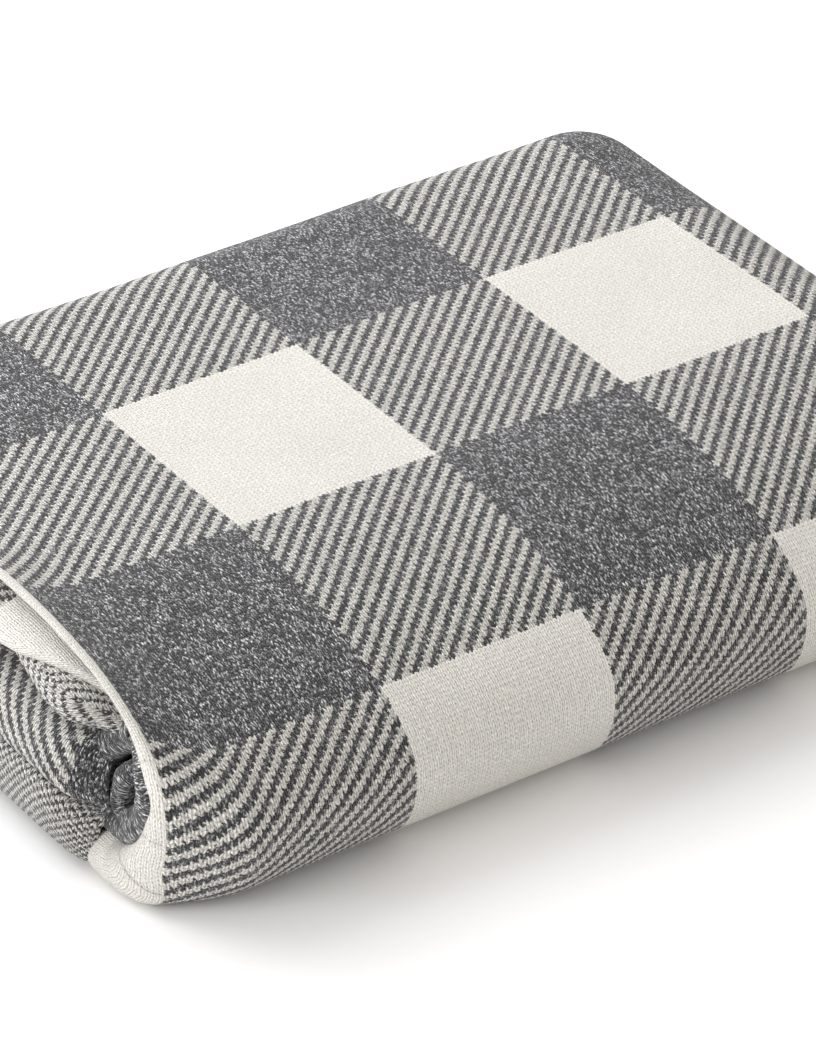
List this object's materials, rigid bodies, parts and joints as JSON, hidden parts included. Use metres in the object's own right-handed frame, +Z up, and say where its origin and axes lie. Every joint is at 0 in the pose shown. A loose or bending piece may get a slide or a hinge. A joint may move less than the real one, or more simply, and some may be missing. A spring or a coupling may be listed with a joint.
{
  "type": "folded camp blanket",
  "caption": "Folded knitted throw blanket in a large two-tone check; the upper leaf opens forward over a wide rounded front fold.",
  "frame": {"origin": "middle of the bundle's footprint, on the surface it lies on", "axes": "+X along the wide front fold, -Y out through the front fold, +Z up"},
  "size_m": [0.3843, 0.2883, 0.076],
  "materials": {
    "check_knit": "matt cotton knit in cream and heather grey checks with diagonal pin stripes",
    "inner_knit": "matt cotton knit, inner plies of the same cloth",
    "selvedge_yarn": "matt cream cotton, knitted edge"
  },
  "bodies": {
    "base": {"bottom_ply": "check_knit", "bottom_selvedge": "selvedge_yarn", "core_lower_leaf": "inner_knit", "core_upper_leaf": "inner_knit", "core_left_fold": "inner_knit", "core_front_roll": "inner_knit"},
    "fold_lower": {"front_ply_lower": "check_knit", "front_selvedge_lower": "selvedge_yarn", "front_lining_lower": "inner_knit"},
    "fold_middle": {"front_ply_middle": "check_knit", "front_selvedge_middle": "selvedge_yarn", "front_lining_middle": "inner_knit"},
    "fold_upper": {"front_ply_upper": "check_knit", "front_selvedge_upper": "selvedge_yarn", "front_lining_upper": "inner_knit"},
    "top_leaf": {"top_ply": "check_knit", "top_selvedge": "selvedge_yarn", "top_lining": "inner_knit", "top_side_fold": "check_knit"}
  },
  "joints": [
    {"name": "fold_line_lower", "type": "hinge", "parent": "base", "child": "fold_lower", "pos_m": [0, -0.12513, 0.00179], "axis": [1, 0, 0], "range_deg": [0, 44.1]},
    {"name": "fold_line_middle", "type": "hinge", "parent": "fold_lower", "child": "fold_middle", "pos_m": [0, -0.14116, 0.01884], "axis": [1, 0, 0], "range_deg": [0, 36.6]},
    {"name": "fold_line_upper", "type": "hinge", "parent": "fold_middle", "child": "fold_upper", "pos_m": [0, -0.14289, 0.04099], "axis": [1, 0, 0], "range_deg": [0, 53.3]},
    {"name": "top_leaf_opens", "type": "hinge", "parent": "fold_upper", "child": "top_leaf", "pos_m": [0, -0.11633, 0.06169], "axis": [1, 0, 0], "range_deg": [0, 35.8]}
  ]
}
